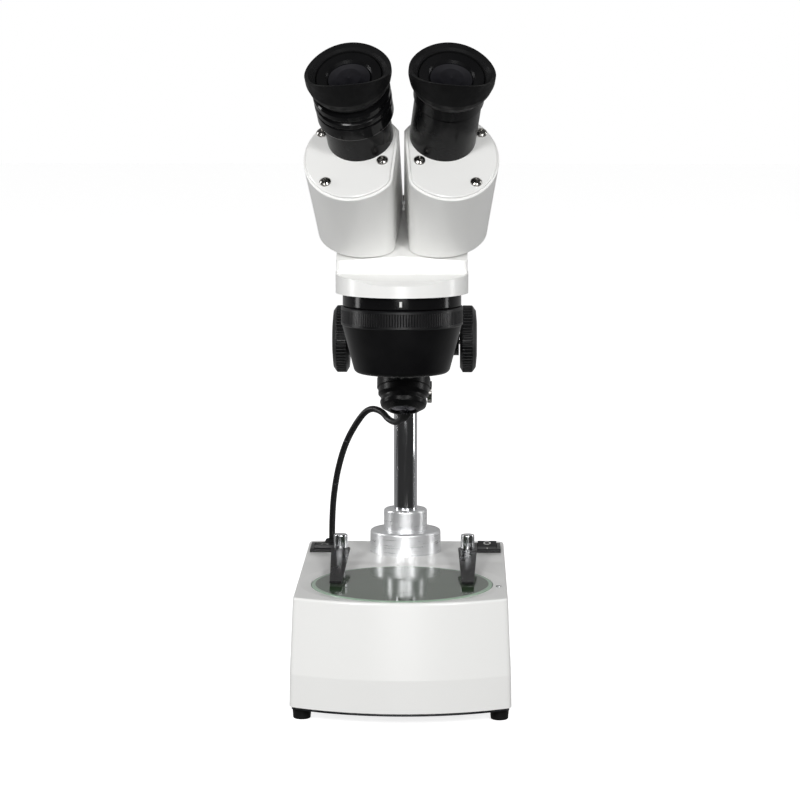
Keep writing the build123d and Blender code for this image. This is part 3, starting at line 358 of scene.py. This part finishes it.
MATERIALS = {
    "white_enamel": enamel("white_enamel", (0.85, 0.85, 0.835), (0.82, 0.82, 0.80), 0.3),
    "black_casting": black_casting("black_casting", 0.3, 0.00005),
    "black_turned": black_casting("black_turned", 0.24, 0.00001),
    "black_gloss": black_casting("black_gloss", 0.1, 0.000005),
    "moulded_plastic": moulded_plastic("moulded_plastic", (0.0045, 0.0045, 0.005), 0.34),
    "cup_rubber": soft_rubber("cup_rubber", (0.004, 0.004, 0.0043)),
    "foot_rubber": soft_rubber("foot_rubber", (0.006, 0.006, 0.006)),
    "cable_sheath": moulded_plastic("cable_sheath", (0.006, 0.006, 0.0065), 0.32),
    "chrome": polished_chrome("chrome"),
    "satin_aluminium": turned_aluminium("satin_aluminium"),
    "milled_steel": milled_steel("milled_steel"),
    "screw_steel": milled_steel("screw_steel", (0.36, 0.35, 0.335), 0.2),
    # painted shade: the zinc bottom plate is made near-black so that it stands for the dark shadow line under
    # the base
    "zinc_plate": milled_steel("zinc_plate", (0.07, 0.07, 0.074), 0.4),
    "brass": turned_brass("brass"),
    "stage_glass": stage_glass("stage_glass"),
    "eye_glass": lens_glass("eye_glass", (0.003, 0.003, 0.004), (0.03, 0.03, 0.034)),
    "clear_glass": clear_glass("clear_glass"),
    "laminated_iron": laminated_iron("laminated_iron"),
    "print_white": print_white("print_white"),
}

NODE_MATERIALS = {
    "white_enamel": ["base_shell", "head_body", "left_prism_housing", "right_prism_housing", "left_top_plate",
                     "right_top_plate"],
    "black_casting": ["focus_block", "slide_gibs", "lamp_housing", "turret_cone", "left_clip_leaf",
                      "right_clip_leaf"],
    "black_turned": ["left_eyetube", "right_eyetube", "left_eyepiece", "right_eyepiece",
                     "low_power_objectives", "high_power_objectives"],
    "black_gloss": ["turret_mount", "left_dioptre_ring"],
    "moulded_plastic": ["pillar_cap", "power_inlet", "switch_bodies", "left_rocker", "right_rocker",
                        "arm_clamp_knob", "left_focus_knob", "right_focus_knob", "turret_grip_ring"],
    "cup_rubber": ["left_eyecup", "right_eyecup"],
    "foot_rubber": ["rubber_feet", "cable_grommet", "lamp_boot"],
    "cable_sheath": ["lamp_cable"],
    "chrome": ["pillar", "left_clip_post", "right_clip_post", "stage_screw"],
    "satin_aluminium": ["pillar_collar", "reflector"],
    "milled_steel": ["rack_slide", "pinion_shaft"],
    "screw_steel": ["collar_set_screw", "gib_screws", "left_plate_screws", "right_plate_screws",
                    "lamp_clamp_screw"],
    # the near-black bottom plate is painted shade for the shadow line under the base
    "zinc_plate": ["bottom_plate"],
    "brass": ["arm_sleeve"],
    "stage_glass": ["stage_plate"],
    "eye_glass": ["left_eye_lens", "right_eye_lens", "objective_lenses", "lamp_lens"],
    "clear_glass": ["base_bulb", "lamp_bulb", "left_prisms", "right_prisms"],
    "laminated_iron": ["transformer"],
}


def dress_cad_nodes():
    """Gives every CAD node its material."""
    for name, nodes in NODE_MATERIALS.items():
        for node in nodes:
            piece = frame["nodes"][node]
            piece.data.materials.clear()
            piece.data.materials.append(MATERIALS[name])


# ---------------------------------------------------------------- lamp cable
CABLE_DIAMETER = 3.5 * MM
CABLE_ROUTE = [
    (1.6, 20.25, 148.6), (-1.9, 25.45, 142.2), (-7.9, 33.05, 142.0), (-12.7, 38.45, 147.3),
    (-20.1, 45.85, 147.5), (-27.1, 52.25, 137.9), (-33.2, 60.65, 125.7), (-37.6, 69.45, 110.7),
    (-40.4, 78.35, 95.0), (-41.6, 84.9, 81.5), (-42.0, 87.75, 69.0), (-42.0, 87.75, 50.0),
]
# the cable crosses four joints, so it is four lengths that meet end to end
LAMP_SPLIT_Y = 42.2                  # how far back the lamp's own length reaches
FOCUS_SPLIT_Z = 127.5                # heights where the next two lengths end
SWING_SPLIT_Z = 101.0


def cable_line():
    """The whole cable's centreline, read from one smooth curve through the route."""
    data = bpy.data.curves.new("cable_line", "CURVE")
    data.dimensions = "3D"
    data.resolution_u = 16
    spline = data.splines.new("NURBS")
    spline.points.add(len(CABLE_ROUTE) - 1)
    for point, place in zip(spline.points, CABLE_ROUTE):
        point.co = (*[value * MM for value in place], 1.0)
    spline.order_u = 3
    spline.use_endpoint_u = True
    line = bpy.data.objects.new("cable_line", data)
    mesh = bpy.data.meshes.new_from_object(line)
    points = [vertex.co.copy() for vertex in mesh.vertices]
    bpy.data.objects.remove(line)
    bpy.data.curves.remove(data)
    bpy.data.meshes.remove(mesh)
    return points


def add_cable():
    """Four lengths of one cable, each reaching across one joint between the lamp and the base; they are built
    in place and hang on no body.
    """
    line = cable_line()
    lamp_cut = max(i for i, point in enumerate(line) if point.y < LAMP_SPLIT_Y * MM)
    focus_cut = max(i for i, point in enumerate(line) if point.z > FOCUS_SPLIT_Z * MM)
    swing_cut = max(i for i, point in enumerate(line) if point.z > SWING_SPLIT_Z * MM)
    lengths = [
        ("lamp_cable_exit", line[:lamp_cut + 1], "lamp", "head"),
        ("lamp_cable_upper", line[lamp_cut:focus_cut + 1], "head", "focus_block"),
        ("lamp_cable_middle", line[focus_cut:swing_cut + 1], "focus_block", "arm_sleeve"),
        ("lamp_cable_lower", line[swing_cut:], "arm_sleeve", "stand"),
    ]
    for name, points, above, below in lengths:
        mesh = swept_tube(name, points, CABLE_DIAMETER / 2)
        piece = new_object(name, mesh, MATERIALS["cable_sheath"], None)
        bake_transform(piece)
    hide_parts("lamp_cable")


# ---------------------------------------------------------------- small marks and fittings
ROCKER_TILT = 8.0                    # degrees either side of level
ROCKER_FACE_FALL = 7.1               # degrees from the rocker's ends down to its middle
MARK_Y = 4.6 * MM                    # middle of each mark, from the pivot
MARK_HEIGHT = 5.19                   # mm above the pivot, just proud of the face
MARK_RING = (1.45 * MM, 2.0 * MM)
MARK_STEPS = 32
MARK_BAR = (0.6 * MM, 3.6 * MM, 0.06 * MM)
INDEX_MARK = (1.3 * MM, 0.3 * MM, 2.8 * MM)
INLET_PINS = ((-7, 28), (0, 33), (7, 28))
INLET_BLADE_Y = 87.0 * MM
INLET_BLADE = (2.2 * MM, 13.0 * MM, 4.7 * MM)


def rocker_frame(side, hand):
    """A rocker's own place at rest: its pivot, tilted like the rocker."""
    joint = next(j for j in frame["joints"] if j["name"] == hand + "_rocker_tilt")
    pivot = Vector(joint["pos_m"])
    return Matrix.Translation(pivot) @ Matrix.Rotation(math.radians(ROCKER_TILT * side), 4, "X")


def off_mark(name, place):
    """Flat ring that follows the slope of the rocker's face."""
    form = bmesh.new()
    angles = [2 * math.pi * step / MARK_STEPS for step in range(MARK_STEPS)]
    rings = []
    for radius in MARK_RING:
        spots = [(radius * math.cos(a), MARK_Y + radius * math.sin(a),
                  (MARK_HEIGHT + radius / MM * math.sin(a) / 8.0) * MM) for a in angles]
        rings.append([form.verts.new(place @ Vector(spot)) for spot in spots])
    inner, outer = rings
    for step in range(MARK_STEPS):
        after = (step + 1) % MARK_STEPS
        form.faces.new((inner[step], outer[step], outer[after], inner[after]))
    mesh = bpy.data.meshes.new(name)
    form.to_mesh(mesh)
    form.free()
    return mesh


def on_mark(name, place):
    """Thin bar on the rocker's other half."""
    slope = Matrix.Rotation(math.radians(-ROCKER_FACE_FALL), 4, "X")
    spot = Matrix.Translation((0, -MARK_Y, (MARK_HEIGHT - 0.01) * MM))
    return bevelled_bar(name, MARK_BAR, place @ spot @ slope, 0.02 * MM, 1)


def add_switch_marks():
    """Circle and bar on each rocker: the usual off and on marks."""
    for side, hand in ((-1, "left"), (1, "right")):
        place = rocker_frame(side, hand)
        for name, make in ((hand + "_off_mark", off_mark), (hand + "_on_mark", on_mark)):
            new_object(name, make(name, place), MATERIALS["print_white"], hand + "_rocker")


def add_index_mark():
    """White line let into the fixed ring above the turret."""
    low, high = [Vector(corner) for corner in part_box("turret_mount")]
    grip_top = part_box("turret_grip_ring")[1][2]
    middle = Vector(((low.x + high.x) / 2, low.y + 0.1 * MM, (grip_top + high.z) / 2))
    mesh = bevelled_bar("index_mark", INDEX_MARK, Matrix.Translation(middle), 0.05 * MM)
    new_object("index_mark", mesh, MATERIALS["print_white"], "head")


def add_inlet_blades():
    """Brass blades over the inlet's three pins."""
    for index, (x, z) in enumerate(INLET_PINS):
        name = f"inlet_blade_{index}"
        mesh = bevelled_bar(name, INLET_BLADE, Matrix.Translation((x * MM, INLET_BLADE_Y, z * MM)), 0.4 * MM)
        new_object(name, mesh, MATERIALS["brass"], "stand")


# ---------------------------------------------------------------- stage: floor and light
FLOOR_REACH = 6.0
FLOOR_GLOW = 0.8
ROOM_FRONT = 0.04                    # brightness of the room that lights the object, before and behind it
ROOM_BACK = 0.4
LIGHT_AIM = (0.0, 0.0, 0.2)
LIGHTS = (                           # name, place, (width, height), watts
    ("left_strip", (-1.6, 0.1, 0.6), (0.3, 1.3), 11.0),
    ("right_strip", (1.6, 0.2, 0.5), (0.2, 1.3), 7.0),
    ("left_front_panel", (-0.9, -2.2, 1.1), (0.5, 0.6), 27.0),
    ("right_front_panel", (0.9, -2.1, 1.0), (0.4, 0.6), 24.0),
    ("low_front_panel", (0.0, -2.5, 0.2), (0.9, 0.25), 15.0),
)


def add_floor():
    """Plain white floor that glows a little, left out of reflections and bounced light."""
    mesh = bpy.data.meshes.new("floor")
    corners = [(x * FLOOR_REACH, y * FLOOR_REACH, 0) for x, y in ((-1, -1), (1, -1), (1, 1), (-1, 1))]
    mesh.from_pydata(corners, [], [(0, 1, 2, 3)])
    floor = bpy.data.objects.new("floor", mesh)
    bpy.context.scene.collection.objects.link(floor)
    ground = Surface("floor", (0.9, 0.9, 0.9), 0.7)
    ground.tint(ground.noise(3.0, 2.0), (0.88, 0.88, 0.88), 0.3)
    ground.put(Specular_IOR_Level=0.1, Emission_Color=(1.0, 1.0, 1.0, 1.0), Emission_Strength=FLOOR_GLOW)
    floor.data.materials.append(ground.material)
    floor.visible_glossy = False
    floor.visible_diffuse = False


def add_room():
    """White backdrop for the camera, and a dim room, brighter at the back, for light and reflections."""
    world = bpy.data.worlds.new("room")
    world.use_nodes = True
    nodes = world.node_tree.nodes
    links = world.node_tree.links
    coords = nodes.new("ShaderNodeTexCoord")
    split = nodes.new("ShaderNodeSeparateXYZ")
    links.new(coords.outputs["Generated"], split.inputs["Vector"])
    depth = nodes.new("ShaderNodeMapRange")
    depth.inputs["From Min"].default_value = -0.3
    depth.inputs["From Max"].default_value = 0.6
    depth.inputs["To Min"].default_value = ROOM_FRONT
    depth.inputs["To Max"].default_value = ROOM_BACK
    links.new(split.outputs["Y"], depth.inputs["Value"])
    rays = nodes.new("ShaderNodeLightPath")
    backdrop = nodes.new("ShaderNodeMix")
    backdrop.data_type = "RGBA"
    backdrop.inputs["B"].default_value = (1.0, 1.0, 1.0, 1.0)
    links.new(rays.outputs["Is Camera Ray"], backdrop.inputs["Factor"])
    links.new(depth.outputs["Result"], backdrop.inputs["A"])
    links.new(backdrop.outputs["Result"], nodes["Background"].inputs["Color"])
    bpy.context.scene.world = world


def add_light(name, place, size, power):
    """Soft panel of (width, height) that faces the middle of the object."""
    data = bpy.data.lights.new(name, "AREA")
    data.shape = "RECTANGLE"
    data.size = size[0]
    data.size_y = size[1]
    data.energy = power
    light = bpy.data.objects.new(name, data)
    light.location = place
    light.rotation_euler = (Vector(LIGHT_AIM) - Vector(place)).to_track_quat("-Z", "Y").to_euler()
    bpy.context.scene.collection.objects.link(light)


def add_lights():
    """Upright strips at both sides, and three panels in front."""
    for light in LIGHTS:
        add_light(*light)


def keep_contrast():
    """Plain display of colours, so that white stays white and black stays black."""
    bpy.context.scene.view_settings.view_transform = "Standard"


add_camera()
add_cable()
dress_cad_nodes()
add_switch_marks()
add_index_mark()
add_inlet_blades()
add_floor()
add_room()
add_lights()
keep_contrast()
